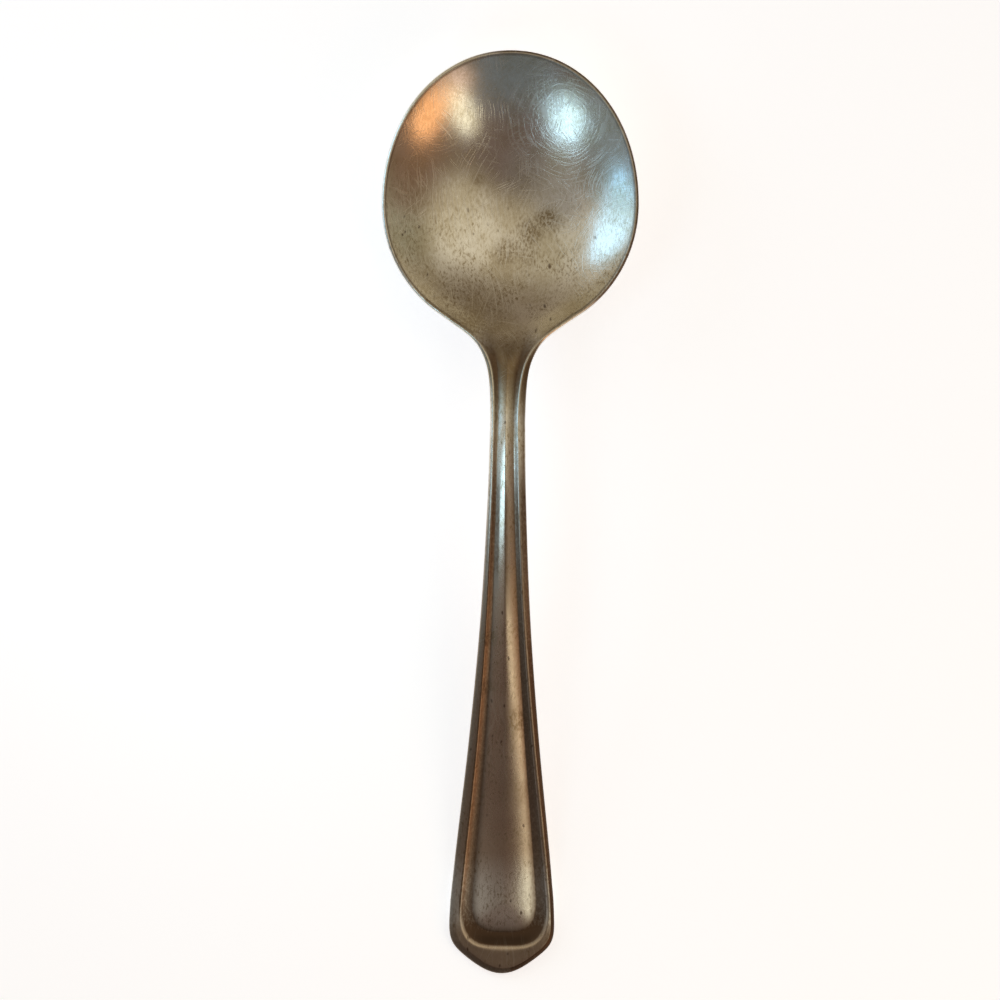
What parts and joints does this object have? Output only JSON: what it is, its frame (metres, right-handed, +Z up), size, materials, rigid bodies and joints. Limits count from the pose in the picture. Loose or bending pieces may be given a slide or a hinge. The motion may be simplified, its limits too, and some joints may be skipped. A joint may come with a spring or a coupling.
{
  "type": "spoon",
  "caption": "Round-bowl soup spoon with a slim ribbed stem and a flared handle that ends in a blunt point, with a raised panel inside a beaded border.",
  "frame": {"origin": "on the surface that the spoon lies on, under the middle of its bounding box", "axes": "+Y along the spoon towards the bowl's tip, +X across it to the right when the bowl points away, +Z up out of the bowl"},
  "size_m": [0.0428, 0.155, 0.0152],
  "materials": {
    "bowl_plate": "Worn, tarnished silver plate over nickel silver: satin from fine use scratches, warm brown in the recesses.",
    "neck_plate": "Worn, tarnished silver plate over nickel silver: satin from fine use scratches, warm brown in the recesses.",
    "stem_plate": "Worn, tarnished silver plate over nickel silver: satin from fine use scratches, warm brown in the recesses.",
    "border_plate": "Worn, tarnished silver plate over nickel silver: satin from fine use scratches, warm brown in the recesses.",
    "panel_plate": "Worn, tarnished silver plate over nickel silver: satin from fine use scratches, warm brown in the recesses."
  },
  "bodies": {
    "root": {"bowl": "bowl_plate", "neck": "neck_plate", "stem": "stem_plate", "handle_border": "border_plate", "handle_panel": "panel_plate"}
  },
  "joints": []
}
